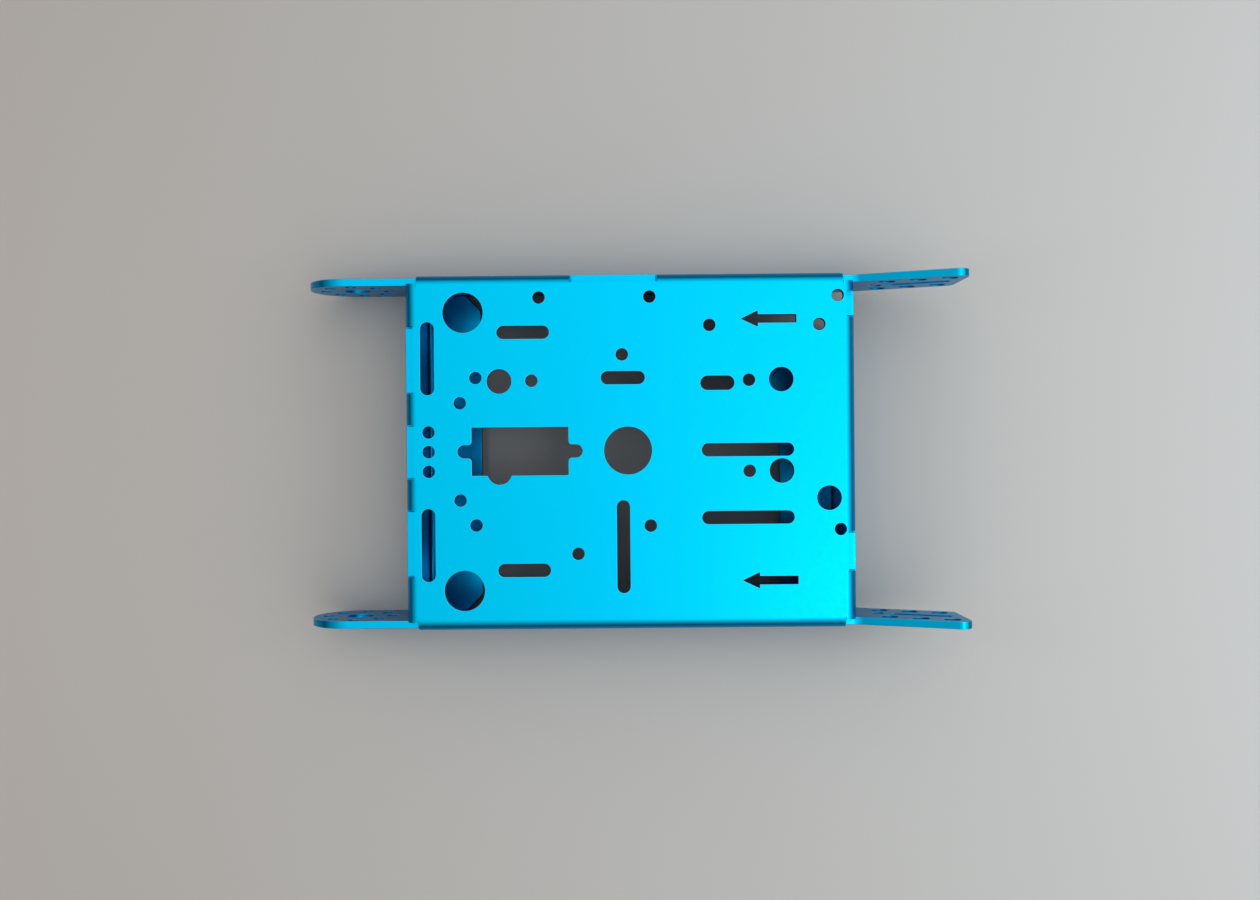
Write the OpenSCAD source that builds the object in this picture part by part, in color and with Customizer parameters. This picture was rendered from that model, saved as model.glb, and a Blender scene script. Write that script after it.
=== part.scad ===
// Folded aluminium chassis of a small wheeled or tracked robot.
// Frame: the front is at -X, where the two arrows in the deck point, +Y is the robot's right
// and +Z is up. The origin is under the middle of the deck, on the surface it stands on.
// The sheet is modelled as the panels it is folded from. They meet face to face at the bends.

/* [Sheet] */
// Thickness of the aluminium sheet
sheet_t = 2; // [1.5:0.1:2]
// Outer radius of every bend
bend_r = 2.85; // [2.4:0.05:3]
// Gap that is left where a bend is slit
slit_gap = 0.1; // [0.05:0.05:0.2]

/* [Body] */
// Length of the deck, front wall to rear wall
body_l = 114.5; // [114.4:0.1:116]
// Width over the two side walls
body_w = 90.4; // [90:0.1:94]
// Height from the feet of the walls to the top of the deck
body_h = 28.5; // [28:0.5:30]
// Width of the flanges that fold in under the front and rear walls
flange_w = 16.4; // [15:0.1:17]

/* [Arms] */
// Distance from the middle of the deck to the tips of the front arms
front_reach = 84.7; // [84.6:0.1:88]
// Distance from the middle of the deck to the tips of the rear arms
rear_reach = 85.5; // [85.4:0.1:88]
// Height of the front arms
front_arm_h = 22; // [22:0.1:22.4]
// Step from the deck top down to the top edges of the arms beside the deck
arm_drop = 5.6; // [5.4:0.1:5.6]
// Angle at which the rear arms rise
rear_arm_angle = 23.5; // [22:0.5:24]

/* [Holes] */
// Diameter of the small deck holes, for M3 screws
small_d = 3; // [2.9:0.05:3.2]
// Diameter of the deck holes for cable grommets
grommet_d = 6.1; // [5.8:0.1:6.2]
// Diameter of the two large holes near the front corners
corner_d = 10.1; // [9.6:0.1:10.4]
// Diameter of the hole in the middle of the deck
centre_d = 12; // [11:0.1:12.4]
// Width of the long slots
slot_w = 3.2; // [3:0.05:3.4]
// Length of the cut-out for a mini servo
servo_l = 24.4; // [24:0.1:24.8]
// Width of the cut-out for a mini servo
servo_w = 12.1; // [12:0.1:12.4]
// Diameter of the motor boss hole in a front arm
boss_d = 7; // [6.6:0.1:7.2]
// Pitch circle of the motor screws in a front arm
motor_pcd = 17; // [16.8:0.1:17]
// Diameter of the axle holes in a rear arm
axle_d = 4.4; // [4.2:0.1:4.5]

/* [Hidden] */
$fn = 64;

DECK_BLUE = [0.0, 0.72, 0.92];
WALL_BLUE = [0.0, 0.6, 0.82];
ARM_BLUE = [0.0, 0.66, 0.88];

eps = 0.5;                          // how far a cutting tool runs past a face
end_x = body_l / 2;                 // outer face of the front and rear walls
side_y = body_w / 2;                // outer face of the side walls
flat_x = end_x - bend_r;            // where the flat deck ends, lengthwise
flat_y = side_y - bend_r;           // where the flat deck ends, sideways
end_y = side_y - sheet_t - slit_gap; // how far the end walls run sideways, up to the arms
bend_z = body_h - bend_r;           // where the deck's bends become upright walls
deck_z = body_h - sheet_t;          // underside of the deck
tab_drop = 2;                       // step from the deck top down to the top of a wall tab
tab_z = body_h - tab_drop;
stub = bend_r - sheet_t - slit_gap; // how far the flat deck runs on behind a wall tab

// Slits in the bends, as [middle, length, relief below it, relief above it] along each edge
front_slits = [[23.65, 16.6, 0.3, 0.3], [0.25, 13.4, 0.3, 0.3], [-23.15, 16.6, 0.3, 0.3]];
rear_slits = [[36.85, 5.3, 0.3, 1], [-25.85, 9.6, 0.3, 0.3]];
right_slits = [[-4.15, 21.7, 0.3, 0.3]];

// Windows in the walls under the slits
window_h = 9;
window_drop = 1.6;                  // from the foot of the bend down to a window
window_z = bend_z - window_drop - window_h;
window_inset = 0.4;                 // how much shorter a window is than its slit

// The jack hole in the rear wall and the open rear right corner
jack_d = 8;
jack_pos = [-25.85, 18.6];
corner_y = 32.75;
corner_z = 22;

// Bottom flanges
mitre = 4.3;
front_flange_x = end_x - flange_w;
tongue_y = [8.25, 31.25];           // where the rear flange is wider
tongue_x = 37.1;
tongue_cut = 2;                     // corner cut of the wider part

// Screw holes for an UNO-size controller board, counted from its corner hole
board_hole = [4.9, -18.85];
board_offsets = [[0, 0], [48.26, -1.27], [15.24, 50.8], [43.18, 50.8]];

small_holes = [
    [-23.1, 39.25], [5, 39.25], [52.8, 39.25], [-2.1, 24.65], [-25.1, 18.15], [30.1, 17.95],
    [30.1, -5.15], [-13.5, -25.85], [-39.3, 18.95], [-39.3, -18.45], [-43.3, 12.6],
    [-43.3, -12.1], [-51.3, 5.25], [-51.3, 0.25], [-51.3, -4.75]
];
grommet_holes = [[-33.3, 18.05], [38.3, 18.05], [38.3, -5.15], [50.3, -12.15]];
corner_holes = [[-42.4, 35.55], [-42.4, -35.05]];
centre_hole = [-0.7, 0.25];

// Slots as [middle, length, width, angle from +X]
slots = [
    [[-51.5, 23.95], 18.4, 3.4, 90], [[-51.5, -23.45], 18.4, 3.4, 90],
    [[-27.2, 30.45], 13.2, slot_w, 0], [[-27.2, -29.95], 13.2, slot_w, 0],
    [[-1.9, 18.75], 11, slot_w, 0], [[22.1, 17.25], 8.5, 3.5, 0],
    [[29.7, 0.25], 23.3, slot_w, 0], [[29.7, -16.95], 23.3, slot_w, 0],
    [[-2, -24.15], 23.4, slot_w, 90]
];

servo_pos = [-28.1, 0.25];
servo_ears = [31.6, 3.2];           // size over the two rounded ear notches
servo_lobe = [-33.3, -5.05];        // middle of the round lobe for the servo's cable
ear_root_r = 1;

arrow_tips = [[28.3, 33.45], [28.3, -32.95]];
arrow_l = 13.9;
arrow_head = [4.1, 3.9];
arrow_shaft_w = 2;

// Front arm: an upright plate with a fully round tip
front_arm_r = front_arm_h / 2;
front_arm_z = body_h - arm_drop - front_arm_r;
motor_x = -72.4;

// Rear arm: a sloping band with an upright end
rear_slope = tan(rear_arm_angle);
knee_x = 58.4;                      // where the top edge starts to rise
knee_r = 6;                         // the hollow rounding there
rear_top_z = body_h - arm_drop;
rear_low_x = 66;                    // a point on the lower edge
rear_low_z = 5.9;
rear_top_r = 2.6;
rear_low_r = 1.6;
axle_cols = [66.5, 73.8, 81.1];
axle_row_z = [22.75, 9.5];          // height of the upper and lower hole in the first column
arm_slot_x = [68.9, 81.2];
arm_slot_z = 16.1;                  // height of the slot's line at the first column
tension_x = 65;                     // the small hole in line with the slot

// One cylinder that cuts through the deck
module deck_drill(pos, d) {
    translate([pos[0], pos[1], deck_z - eps]) cylinder(h = sheet_t + 2 * eps, d = d);
}

// A slot that cuts through the deck
module deck_slot(pos, length, width, angle) {
    run = length - width;
    translate([pos[0], pos[1], 0]) rotate([0, 0, angle]) {
        translate([-run / 2, -width / 2, deck_z - eps]) cube([run, width, sheet_t + 2 * eps]);
        for (side = [-1, 1]) deck_drill([side * run / 2, 0], width);
    }
}

// The rounding where a notch of the servo cut-out meets its straight edge
module root_round(pos, turn) {
    translate([pos[0], pos[1], deck_z - eps]) rotate([0, 0, turn]) difference() {
        translate([-eps, -eps, 0]) cube([ear_root_r + eps, ear_root_r + eps, sheet_t + 2 * eps]);
        translate([ear_root_r, ear_root_r, -eps]) cylinder(h = sheet_t + 4 * eps, r = ear_root_r);
    }
}

// Cut-out for a mini servo, with notches for its ears and a lobe for its cable
module servo_cut() {
    half_l = servo_l / 2;
    half_e = servo_ears[1] / 2;
    translate([servo_pos[0] - half_l, servo_pos[1] - servo_w / 2, deck_z - eps])
        cube([servo_l, servo_w, sheet_t + 2 * eps]);
    deck_slot(servo_pos, servo_ears[0], servo_ears[1], 0);
    deck_drill(servo_lobe, grommet_d);
    translate([servo_pos[0], servo_pos[1], 0]) {
        root_round([half_l, half_e], 0);
        root_round([half_l, -half_e], -90);
        root_round([-half_l, half_e], 90);
        root_round([-half_l, -half_e], 180);
    }
}

// An arrow that points to the front
module arrow_cut(tip) {
    head_l = arrow_head[0];
    head_w = arrow_head[1] / 2;
    shaft_w = arrow_shaft_w / 2;
    translate([tip[0], tip[1], deck_z - eps])
        linear_extrude(sheet_t + 2 * eps)
            polygon([
                [0, 0], [head_l, head_w], [head_l, shaft_w], [arrow_l, shaft_w],
                [arrow_l, -shaft_w], [head_l, -shaft_w], [head_l, -head_w]
            ]);
}

module deck_holes() {
    for (pos = small_holes) deck_drill(pos, small_d);
    for (offset = board_offsets) deck_drill(board_hole + offset, small_d);
    for (pos = grommet_holes) deck_drill(pos, grommet_d);
    for (pos = corner_holes) deck_drill(pos, corner_d);
    deck_drill(centre_hole, centre_d);
    for (s = slots) deck_slot(s[0], s[1], s[2], s[3]);
    for (tip = arrow_tips) arrow_cut(tip);
    servo_cut();
}

// A quarter-round bend along Y: flat on top at x = 0 and upright at x = bend_r
module bend(length) {
    rotate([90, 0, 0]) linear_extrude(length, center = true) intersection() {
        difference() {
            circle(r = bend_r);
            circle(r = bend_r - sheet_t);
        }
        square(bend_r + eps);
    }
}

// A block that spans one slit and its reliefs, in the quarter where the bend is
module slit_block(from_x, to_x, low_y, high_y) {
    translate([from_x, low_y, bend_z - eps]) cube([to_x - from_x, high_y - low_y, bend_r + 2 * eps]);
}

// The bend along one edge of the deck, cut away at its slits, with the flat run behind each tab.
// The edge lies along Y at x = edge_x.
module deck_edge(edge_x, length, slits) {
    outer_x = edge_x + bend_r + eps;
    difference() {
        translate([edge_x, 0, bend_z]) bend(length);
        for (s = slits) {
            low_y = s[0] - s[1] / 2;
            high_y = s[0] + s[1] / 2;
            slit_block(edge_x, outer_x, low_y, high_y);
            slit_block(edge_x + stub, outer_x, low_y - s[2], high_y + s[3]);
        }
    }
    for (s = slits)
        translate([edge_x - eps, s[0] - s[1] / 2, deck_z]) cube([stub + eps, s[1], sheet_t]);
}

// Turns what is made for the rear edge to the right side, with X and Y changed over
module on_right() {
    rotate([0, 0, 90]) mirror([0, 1, 0]) children();
}

module top_deck() {
    color(DECK_BLUE) difference() {
        union() {
            translate([-flat_x, -flat_y, deck_z]) cube([2 * flat_x, 2 * flat_y, sheet_t]);
            mirror([1, 0, 0]) deck_edge(flat_x, 2 * end_y, front_slits);
            deck_edge(flat_x, 2 * end_y, rear_slits);
            on_right() deck_edge(flat_y, 2 * (flat_x - slit_gap), right_slits);
            mirror([0, 1, 0]) on_right() deck_edge(flat_y, 2 * (flat_x - slit_gap), []);
        }
        deck_holes();
    }
}

// An upright wall that spans Y, with its tabs. Its outer face is at x = outer_x.
module upright(outer_x, length, foot_z, slits) {
    translate([outer_x - sheet_t, -length / 2, foot_z]) cube([sheet_t, length, bend_z - foot_z]);
    for (s = slits)
        translate([outer_x - sheet_t, s[0] - s[1] / 2, bend_z - eps])
            cube([sheet_t, s[1], tab_z - bend_z + eps]);
}

// The window under a slit
module window(outer_x, slit) {
    width = slit[1] - window_inset;
    translate([outer_x - sheet_t - eps, slit[0] - width / 2, window_z])
        cube([sheet_t + 2 * eps, width, window_h]);
}

module left_side_wall() {
    color(WALL_BLUE) mirror([0, 1, 0]) on_right() upright(side_y, 2 * flat_x, 0, []);
}

module right_side_wall() {
    color(WALL_BLUE) on_right() difference() {
        upright(side_y, 2 * flat_x, 0, right_slits);
        for (s = right_slits) window(side_y, s);
    }
}

module front_wall() {
    color(WALL_BLUE) mirror([1, 0, 0]) difference() {
        upright(end_x, 2 * end_y, bend_r, front_slits);
        for (s = front_slits) window(end_x, s);
    }
}

module rear_wall() {
    color(WALL_BLUE) difference() {
        upright(end_x, 2 * end_y, bend_r, rear_slits);
        translate([end_x - sheet_t - eps, jack_pos[0], jack_pos[1]]) rotate([0, 90, 0])
            cylinder(h = sheet_t + 2 * eps, d = jack_d);
        translate([end_x - sheet_t - eps, corner_y, 0])
            cube([sheet_t + 2 * eps, side_y, corner_z]);
    }
}

// The bend at the foot of an end wall, between two places along Y
module foot_bend(from_y, to_y) {
    translate([flat_x, (from_y + to_y) / 2, bend_r]) mirror([0, 0, 1]) bend(to_y - from_y);
}

module front_bottom_flange() {
    color(WALL_BLUE) mirror([1, 0, 0]) {
        foot_bend(-end_y, end_y);
        linear_extrude(sheet_t) polygon([
            [flat_x, -end_y], [flat_x, end_y], [front_flange_x + mitre, end_y],
            [front_flange_x, end_y - mitre], [front_flange_x, mitre - end_y],
            [front_flange_x + mitre, -end_y]
        ]);
    }
}

module rear_bottom_flange() {
    color(WALL_BLUE) {
        foot_bend(-end_y, corner_y);
        linear_extrude(sheet_t) polygon([
            [flat_x, -end_y], [flat_x, corner_y], [tongue_x + tongue_cut, tongue_y[1]],
            [tongue_x, tongue_y[1] - tongue_cut], [tongue_x, tongue_y[0] + tongue_cut],
            [tongue_x + tongue_cut, tongue_y[0]],
            [front_flange_x, tongue_y[0]], [front_flange_x, mitre - end_y],
            [front_flange_x + mitre, -end_y]
        ]);
    }
}

// A hole of a given diameter through an arm
module arm_drill(x, z, d) {
    translate([x, side_y + eps, z]) rotate([90, 0, 0])
        cylinder(h = sheet_t + 2 * eps, d = d);
}

// The front arm on the +Y side
module front_arm() {
    tip_x = front_arm_r - front_reach;
    foot = front_arm_z - front_arm_r;
    difference() {
        union() {
            translate([tip_x, side_y - sheet_t, foot])
                cube([-flat_x - tip_x, sheet_t, front_arm_h]);
            translate([tip_x, side_y, front_arm_z]) rotate([90, 0, 0])
                cylinder(h = sheet_t, r = front_arm_r);
        }
        arm_drill(motor_x, front_arm_z, boss_d);
        for (turn = [0:45:315])
            arm_drill(motor_x + motor_pcd / 2 * cos(turn), front_arm_z + motor_pcd / 2 * sin(turn),
                small_d);
    }
}

function rear_top(x) = rear_top_z + max(0, x - knee_x) * rear_slope;
function rear_low(x) = rear_low_z + (x - rear_low_x) * rear_slope;

function on_axis_line(z, x) = z + (x - axle_cols[0]) * rear_slope;

// The rear arm on the +Y side. Each rounded corner is a disc that touches both its edges.
module rear_arm() {
    top_cx = rear_reach - rear_top_r;
    top_cz = rear_top(top_cx) - rear_top_r / cos(rear_arm_angle);
    low_cx = rear_reach - rear_low_r;
    low_cz = rear_low(low_cx) + rear_low_r / cos(rear_arm_angle);
    knee_run = knee_r * tan(rear_arm_angle / 2);
    difference() {
        translate([0, side_y, 0]) rotate([90, 0, 0]) {
            linear_extrude(sheet_t) polygon([
                [flat_x, rear_low(flat_x)], [flat_x, rear_top_z], [knee_x - knee_run, rear_top_z],
                [knee_x + knee_run * cos(rear_arm_angle), rear_top_z + knee_run * sin(rear_arm_angle)],
                [top_cx - rear_top_r * sin(rear_arm_angle), top_cz + rear_top_r * cos(rear_arm_angle)],
                [top_cx, top_cz], [rear_reach, top_cz], [rear_reach, low_cz], [low_cx, low_cz],
                [low_cx + rear_low_r * sin(rear_arm_angle), low_cz - rear_low_r * cos(rear_arm_angle)]
            ]);
            translate([top_cx, top_cz, 0]) cylinder(h = sheet_t, r = rear_top_r);
            translate([low_cx, low_cz, 0]) cylinder(h = sheet_t, r = rear_low_r);
        }
        arm_drill(knee_x - knee_run, rear_top_z + knee_r, 2 * knee_r);
        for (z = axle_row_z, x = axle_cols) arm_drill(x, on_axis_line(z, x), axle_d);
        arm_drill(tension_x, on_axis_line(arm_slot_z, tension_x), small_d);
        arm_slot();
    }
}

// The slot between the two rows of axle holes
module arm_slot() {
    z0 = on_axis_line(arm_slot_z, arm_slot_x[0]);
    run = (arm_slot_x[1] - arm_slot_x[0]) / cos(rear_arm_angle);
    translate([arm_slot_x[0], side_y + eps, z0]) rotate([0, -rear_arm_angle, 0]) {
        translate([0, -sheet_t - 2 * eps, -slot_w / 2]) cube([run, sheet_t + 2 * eps, slot_w]);
        for (x = [0, run])
            translate([x, 0, 0]) rotate([90, 0, 0]) cylinder(h = sheet_t + 2 * eps, d = slot_w);
    }
}

module front_left_arm() {
    color(ARM_BLUE) mirror([0, 1, 0]) front_arm();
}

module front_right_arm() {
    color(ARM_BLUE) front_arm();
}

module rear_left_arm() {
    color(ARM_BLUE) mirror([0, 1, 0]) rear_arm();
}

module rear_right_arm() {
    color(ARM_BLUE) rear_arm();
}

top_deck();
left_side_wall();
right_side_wall();
front_wall();
rear_wall();
front_bottom_flange();
rear_bottom_flange();
front_left_arm();
front_right_arm();
rear_left_arm();
rear_right_arm();
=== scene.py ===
import math

import bmesh
import bpy
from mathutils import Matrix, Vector


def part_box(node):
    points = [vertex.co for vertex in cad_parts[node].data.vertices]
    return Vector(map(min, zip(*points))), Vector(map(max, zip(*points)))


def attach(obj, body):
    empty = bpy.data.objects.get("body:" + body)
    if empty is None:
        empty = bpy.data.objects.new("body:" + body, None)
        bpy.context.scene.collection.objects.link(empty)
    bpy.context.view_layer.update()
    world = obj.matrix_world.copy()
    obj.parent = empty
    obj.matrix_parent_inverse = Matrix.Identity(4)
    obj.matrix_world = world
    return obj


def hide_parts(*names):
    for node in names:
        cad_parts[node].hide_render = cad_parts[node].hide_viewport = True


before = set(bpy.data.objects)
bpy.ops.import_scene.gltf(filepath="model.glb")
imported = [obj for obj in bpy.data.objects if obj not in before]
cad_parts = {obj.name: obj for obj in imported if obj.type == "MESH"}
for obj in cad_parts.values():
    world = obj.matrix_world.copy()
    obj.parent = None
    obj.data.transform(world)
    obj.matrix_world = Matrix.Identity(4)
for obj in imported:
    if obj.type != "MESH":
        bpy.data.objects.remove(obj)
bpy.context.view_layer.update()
SCENE = bpy.context.scene

# ---- Sizes read from the frame, in metres
SIDE_LOW, SIDE_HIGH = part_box("left_side_wall")
BEND_Z = SIDE_HIGH.z                            # where the deck's bends become walls
TOP_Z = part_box("top_deck")[1].z
BEND_R = TOP_Z - BEND_Z
SHEET_T = SIDE_HIGH.y - SIDE_LOW.y
FLAT_X = SIDE_HIGH.x                            # where the flat deck ends, lengthwise
FLAT_Y = -SIDE_LOW.y - BEND_R                   # where it ends, sideways
INNER_Y = -SIDE_HIGH.y                          # inner face of the side walls and arms
ARM_TOP_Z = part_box("front_left_arm")[1].z

EDGE_ROUND = 0.00016                            # how far a cut edge is rounded over
NEAR = 2e-6                                     # two places closer than this are one
PAINTED_SHELTER_Z = ARM_TOP_Z - 0.0005                  # level faces below this height get the sheltered tone, painted light and shade
FADE = 0.001                                    # height over which the painted tone changes

SHARP_ANGLE = math.radians(35)                  # faces that meet more steeply have an edge to round
FLAT_ANGLE = math.radians(0.3)                  # faces that meet more flatly are joined into one
SHORT_EDGE = 2.5 * EDGE_ROUND                   # shorter edges are rounded only along a curve
SQUARE = 0.9999                                 # cosine of a face that lies square to an axis
BEND_MATCH = 0.97                               # least cosine between a facet and its bend
CURVE_MATCH = 0.87                              # least cosine between two steps of a curve
SMOOTH_MATCH = 0.6                              # least cosine between faces shaded as one

FLOOR_HALF = 3.0                                # half the side of the floor
FLOOR_GAP = 0.00005                             # how far the floor lies below the feet
PAINTED_LIGHT_HALF = 0.17                                # the floor's painted light gradient changes within this distance
SKY_BASE = 1.07                                 # strength of the sky straight above


# ---- Camera, straight above the deck
cam = bpy.data.cameras.new("camera")
cam.sensor_width = 36.0
cam.lens = 36.0 * 1250 / 1260
cam.clip_start = 0.01
cam.clip_end = 20
cam_obj = bpy.data.objects.new("camera", cam)
cam_obj.location = (-0.0002, 0.00037, 0.3455)
cam_obj.rotation_euler = (0, 0, math.radians(-0.49))
SCENE.collection.objects.link(cam_obj)
SCENE.camera = cam_obj
SCENE.view_settings.view_transform = "Standard"
SCENE.view_settings.gamma = 0.8


# ---- Materials
def new_material(name):
    mat = bpy.data.materials.new(name)
    mat.use_nodes = True
    nodes, links = mat.node_tree.nodes, mat.node_tree.links
    return mat, nodes, links, nodes["Principled BSDF"]


def noise(nodes, links, coords, scale, detail=2.0, rough=0.5):
    n = nodes.new("ShaderNodeTexNoise")
    n.inputs["Scale"].default_value = scale
    n.inputs["Detail"].default_value = detail
    n.inputs["Roughness"].default_value = rough
    links.new(coords, n.inputs["Vector"])
    return n.outputs["Fac"]


def spread(nodes, links, value, low, high, from_low=0.3, from_high=0.7):
    n = nodes.new("ShaderNodeMapRange")
    n.inputs["From Min"].default_value = from_low
    n.inputs["From Max"].default_value = from_high
    n.inputs["To Min"].default_value = low
    n.inputs["To Max"].default_value = high
    links.new(value, n.inputs["Value"])
    return n.outputs["Result"]


def mix(nodes, links, factor, first, second):
    n = nodes.new("ShaderNodeMix")
    n.data_type = "RGBA"
    links.new(factor, n.inputs["Factor"])
    for colour, socket in ((first, n.inputs["A"]), (second, n.inputs["B"])):
        if isinstance(colour, tuple):
            socket.default_value = (*colour, 1)
        else:
            links.new(colour, socket)
    return n.outputs["Result"]


def anodised(name, steep_painted_shade, sheltered_painted_tone, light, rough_low, rough_high, coat):
    """Bead-blasted, dyed and sealed aluminium, slightly patchy. Steep faces are painted darker and
    deeper blue as painted shade; level faces low in the body are painted in a sheltered tone, and
    the arms' edges get a little of it, so they read a little deeper than the deck: painted light
    and shade."""
    mat, nodes, links, bsdf = new_material(name)
    texture = nodes.new("ShaderNodeTexCoord")
    coords = texture.outputs["Object"]
    clouds = noise(nodes, links, coords, 45, 3, 0.55)
    mottle = noise(nodes, links, coords, 700, 3, 0.6)
    grain = noise(nodes, links, coords, 5200, 2, 0.7)
    facing = nodes.new("ShaderNodeSeparateXYZ")
    links.new(texture.outputs["Normal"], facing.inputs[0])
    place = nodes.new("ShaderNodeSeparateXYZ")
    links.new(coords, place.inputs[0])
    # Painted shade: steep faces take the darker steep colour, level faces the flat one
    level = spread(nodes, links, facing.outputs["Z"], 0, 1, 0.7, 0.98)
    # Painted light and shade: level faces below the arms' tops take the sheltered tone, the arms'
    # top edges mostly the open tone, the deck all of it
    on_arms = spread(nodes, links, place.outputs["Z"], 0, 0.75, PAINTED_SHELTER_Z - FADE, PAINTED_SHELTER_Z)
    on_deck = spread(nodes, links, place.outputs["Z"], 0, 0.25, TOP_Z - FADE, TOP_Z - FADE / 2)
    exposed_painted_mix = nodes.new("ShaderNodeMath")
    exposed_painted_mix.operation = "ADD"
    links.new(on_arms, exposed_painted_mix.inputs[0])
    links.new(on_deck, exposed_painted_mix.inputs[1])
    patchy = nodes.new("ShaderNodeMath")
    patchy.operation = "MULTIPLY"
    links.new(exposed_painted_mix.outputs[0], patchy.inputs[0])
    links.new(spread(nodes, links, clouds, 0.88, 1), patchy.inputs[1])
    flat = mix(nodes, links, patchy.outputs[0], sheltered_painted_tone, light)
    links.new(mix(nodes, links, level, steep_painted_shade, flat), bsdf.inputs["Base Color"])
    links.new(spread(nodes, links, mottle, rough_low, rough_high), bsdf.inputs["Roughness"])
    bsdf.inputs["Metallic"].default_value = 1.0
    bsdf.inputs["Coat Weight"].default_value = coat
    bsdf.inputs["Coat Roughness"].default_value = 0.3
    bsdf.inputs["Coat IOR"].default_value = 1.6
    height = nodes.new("ShaderNodeMath")
    height.operation = "MULTIPLY_ADD"
    links.new(mottle, height.inputs[0])
    height.inputs[1].default_value = 0.25
    links.new(grain, height.inputs[2])
    bump = nodes.new("ShaderNodeBump")
    bump.inputs["Strength"].default_value = 0.08
    bump.inputs["Distance"].default_value = 0.00004
    links.new(height.outputs[0], bump.inputs["Height"])
    links.new(bump.outputs["Normal"], bsdf.inputs["Normal"])
    return mat


# Colours of steep faces (painted shade), of sheltered and of open level faces (painted light and
# shade); range of roughness; coat
FACE = anodised(
    "anodised_face", (0.0, 0.32, 0.62), (0.0, 0.6, 1.0), (0.0, 0.65, 0.93), 0.28, 0.34, 0.02
)
# Painted highlight: the rounded cut edges are coloured lighter and whiter than the faces, on top of
# the light their rounding catches
RIM_HIGHLIGHT = anodised(
    "anodised_rim_highlight", (0.10, 0.60, 0.86), (0.02, 0.42, 0.80), (0.16, 0.72, 0.94), 0.34, 0.42, 0.2
)


# ---- Panels
# Every bend as (index of the axis across it, its place there, its height, 1 if it opens upward)
BENDS = [(0, side * FLAT_X, BEND_Z, 1) for side in (-1, 1)]
BENDS += [(1, side * FLAT_Y, BEND_Z, 1) for side in (-1, 1)]
BENDS += [(0, side * FLAT_X, BEND_R, -1) for side in (-1, 1)]


def bend_normal(co, face_normal):
    """The true surface direction at a point of a bend, or None where there is no bend."""
    if max(abs(c) for c in face_normal) > SQUARE:
        return None
    for across, place, height, upward in BENDS:
        side = math.copysign(1, place)
        out = (co[across] - place) * side
        up = (co.z - height) * upward
        if out < -NEAR or up < -NEAR:
            continue
        r = math.hypot(out, up)
        for radius, sense in ((BEND_R, 1), (BEND_R - SHEET_T, -1)):
            if abs(r - radius) > NEAR:
                continue
            n = Vector((0, 0, up * upward))
            n[across] = out * side
            n *= sense / r
            if n.dot(face_normal) > BEND_MATCH:
                return n
    return None


def on_seam(edge):
    """True for an edge in a plane where two panels of the sheet meet."""
    a, b = (v.co for v in edge.verts)
    for z in (BEND_Z, BEND_R):
        if abs(a.z - z) < NEAR and abs(b.z - z) < NEAR:
            return True
    if abs(abs(a.x) - FLAT_X) < NEAR and abs(b.x - a.x) < NEAR:
        return min(abs(a.y), abs(b.y)) > INNER_Y - NEAR
    return False


def runs_on(edge, sharp):
    """True if a sharp edge is long, or one step of a curve and so goes on smoothly at both ends."""
    if edge.calc_length() > SHORT_EDGE:
        return True
    for v in edge.verts:
        way = (v.co - edge.other_vert(v).co).normalized()
        others = [o for o in v.link_edges if o in sharp and o != edge]
        onward = [(o.other_vert(v).co - v.co).normalized() for o in others]
        if not any(way.dot(d) > CURVE_MATCH for d in onward):
            return False
    return True


def in_bend(edge):
    """True for an edge of the deck in its bends, where slits and holes crowd together."""
    return any(
        v.co.z > BEND_Z + NEAR and (abs(v.co.x) > FLAT_X - NEAR or abs(v.co.y) > FLAT_Y - NEAR)
        for v in edge.verts
    )


def finished_panel(node):
    """A copy of one panel with rounded cut edges and smooth bends, shown in its place."""
    bm = bmesh.new()
    bm.from_mesh(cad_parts[node].data)
    bmesh.ops.remove_doubles(bm, verts=bm.verts, dist=NEAR / 2)
    bmesh.ops.dissolve_limit(bm, angle_limit=FLAT_ANGLE, verts=bm.verts, edges=bm.edges)
    sharp = {
        e for e in bm.edges
        if len(e.link_faces) == 2 and e.calc_face_angle(0) > SHARP_ANGLE and not on_seam(e)
        and not (node == "top_deck" and in_bend(e))
    }
    # The rounded edges take the second material, the painted rim highlight
    bmesh.ops.bevel(
        bm, geom=[e for e in bm.edges if e in sharp and runs_on(e, sharp)],
        offset=EDGE_ROUND, offset_type="OFFSET", segments=2, profile=0.5, affect="EDGES",
        clamp_overlap=False, material=1,
    )
    mesh = bpy.data.meshes.new(node + "_sheet")
    bm.to_mesh(mesh)
    bm.free()
    around = {}
    for face in mesh.polygons:
        face.use_smooth = True
        for v in face.vertices:
            around.setdefault(v, []).append(face)
    normals = []
    for face in mesh.polygons:
        for loop in face.loop_indices:
            v = mesh.loops[loop].vertex_index
            n = bend_normal(mesh.vertices[v].co, face.normal)
            if n is None:
                n = Vector()
                for other in around[v]:
                    if other.normal.dot(face.normal) > SMOOTH_MATCH:
                        n += other.normal * other.area
            normals.append(n.normalized())
    mesh.normals_split_custom_set(normals)
    mesh.materials.append(FACE)
    mesh.materials.append(RIM_HIGHLIGHT)
    piece = bpy.data.objects.new(node + "_sheet", mesh)
    SCENE.collection.objects.link(piece)
    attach(piece, "root")
    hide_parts(node)


for node in sorted(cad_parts):
    finished_panel(node)


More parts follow.
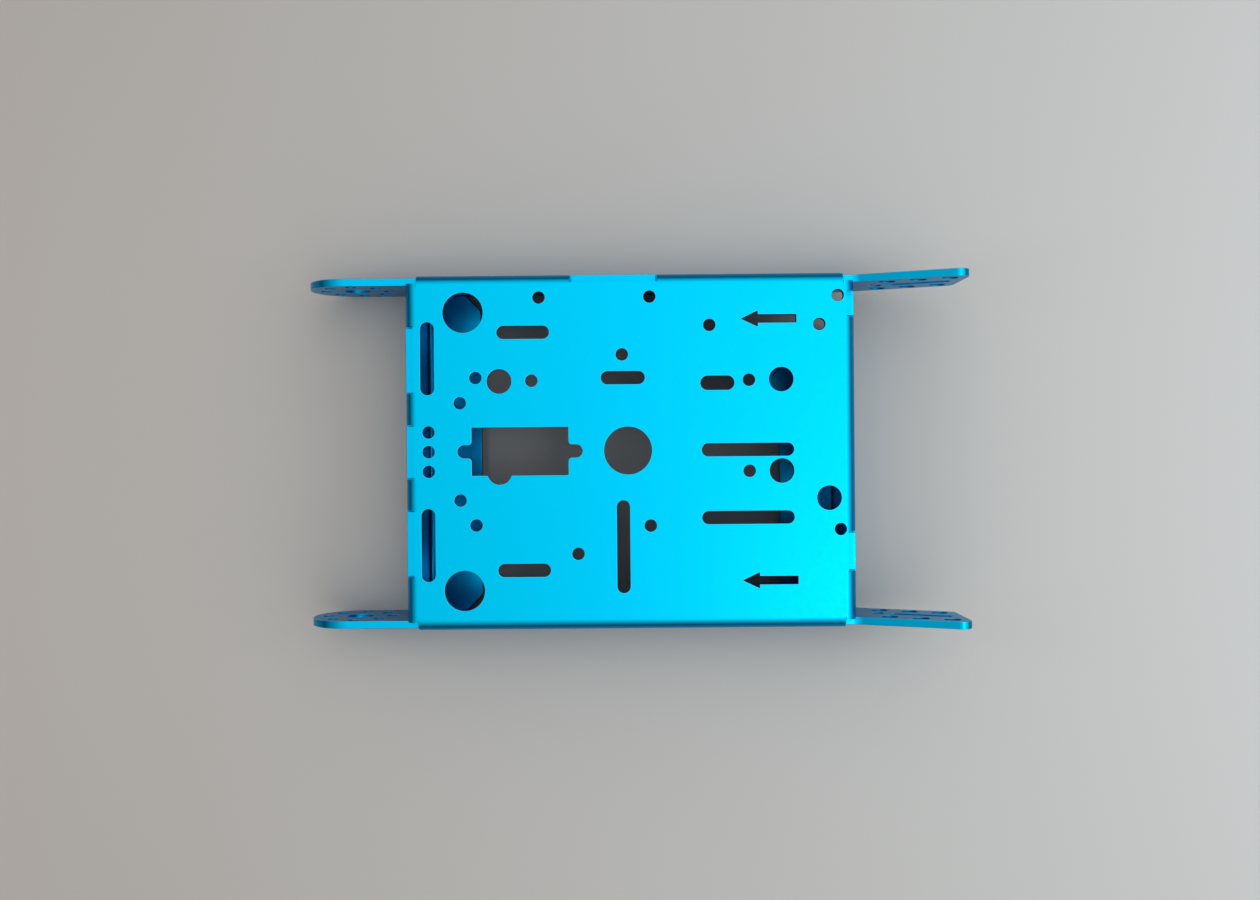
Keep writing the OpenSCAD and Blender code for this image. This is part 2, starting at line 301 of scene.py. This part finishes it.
# ---- Floor
def floor_material():
    mat, nodes, links, bsdf = new_material("floor_pale")
    coords = nodes.new("ShaderNodeTexCoord").outputs["Object"]
    split = nodes.new("ShaderNodeSeparateXYZ")
    links.new(coords, split.inputs[0])
    # Painted light: the floor is painted darker and warmer towards the front and brighter and
    # cooler towards the rear, +X
    painted_light_ramp = nodes.new("ShaderNodeMix")
    painted_light_ramp.data_type = "RGBA"
    painted_light_ramp.inputs["A"].default_value = (0.443, 0.421, 0.400, 1)
    painted_light_ramp.inputs["B"].default_value = (0.588, 0.603, 0.601, 1)
    rearward = spread(nodes, links, split.outputs["X"], 0, 1, -PAINTED_LIGHT_HALF, PAINTED_LIGHT_HALF)
    links.new(rearward, painted_light_ramp.inputs["Factor"])
    links.new(painted_light_ramp.outputs["Result"], bsdf.inputs["Base Color"])
    bsdf.inputs["Roughness"].default_value = 0.6
    bsdf.inputs["Specular IOR Level"].default_value = 0.2
    return mat


floor_mesh = bpy.data.meshes.new("floor")
corners = [(x * FLOOR_HALF, y * FLOOR_HALF, 0) for x, y in ((-1, -1), (1, -1), (1, 1), (-1, 1))]
floor_mesh.from_pydata(corners, [], [(0, 1, 2, 3)])
floor_mesh.materials.append(floor_material())
floor = bpy.data.objects.new("floor", floor_mesh)
floor.location.z = -FLOOR_GAP
SCENE.collection.objects.link(floor)


# ---- Light: a wide soft ceiling that fades towards the horizon, one lamp, and two fills that
# light the floor beside the walls but make no glint on the metal
def disc_lamp(name, place, size, power, glints=True):
    light = bpy.data.lights.new(name, "AREA")
    light.shape = "DISK"
    light.size = size
    light.energy = power
    obj = bpy.data.objects.new(name, light)
    obj.location = place
    obj.visible_glossy = glints
    obj.rotation_euler = (-obj.location).to_track_quat("-Z", "Y").to_euler()
    SCENE.collection.objects.link(obj)


disc_lamp("lamp", (0.87, -0.515, 2.84), 0.8, 2.1)
for side in (-1, 1):
    disc_lamp("fill", (0.42 * side, 0, 0.36), 0.3, 0.6, False)

world = bpy.data.worlds.new("world")
SCENE.world = world
world.use_nodes = True
wn, wl = world.node_tree.nodes, world.node_tree.links
split = wn.new("ShaderNodeSeparateXYZ")
wl.new(wn.new("ShaderNodeTexCoord").outputs["Generated"], split.inputs[0])
ramp = wn.new("ShaderNodeValToRGB")
ramp.color_ramp.elements[0].position = 0.0
ramp.color_ramp.elements[0].color = (0.07, 0.07, 0.07, 1)
ramp.color_ramp.elements[1].position = 1.0
ramp.color_ramp.elements[1].color = (0.9, 0.9, 0.9, 1)
for position, tone in ((0.18, 0.12), (0.32, 0.45), (0.75, 0.68), (0.93, 0.9)):
    ramp.color_ramp.elements.new(position).color = (tone, tone, tone, 1)
wl.new(split.outputs["Z"], ramp.inputs["Fac"])
wl.new(ramp.outputs["Color"], wn["Background"].inputs["Color"])
# The sky grows stronger towards the robot's rear, +X, and its right, +Y
rearward = wn.new("ShaderNodeMath")
rearward.operation = "MAXIMUM"
rearward.inputs[1].default_value = 0
wl.new(split.outputs["X"], rearward.inputs[0])
slopes = ((split.outputs["X"], 0.3), (split.outputs["Y"], 0.33), (rearward.outputs[0], 2.1))
glow = None
for source, slope in slopes:
    step = wn.new("ShaderNodeMath")
    step.operation = "MULTIPLY_ADD"
    wl.new(source, step.inputs[0])
    step.inputs[1].default_value = slope
    if glow:
        wl.new(glow, step.inputs[2])
    else:
        step.inputs[2].default_value = SKY_BASE
    glow = step.outputs[0]
limit = wn.new("ShaderNodeClamp")
limit.inputs["Min"].default_value = 0.8
limit.inputs["Max"].default_value = 1.5
wl.new(glow, limit.inputs["Value"])
wl.new(limit.outputs[0], wn["Background"].inputs["Strength"])
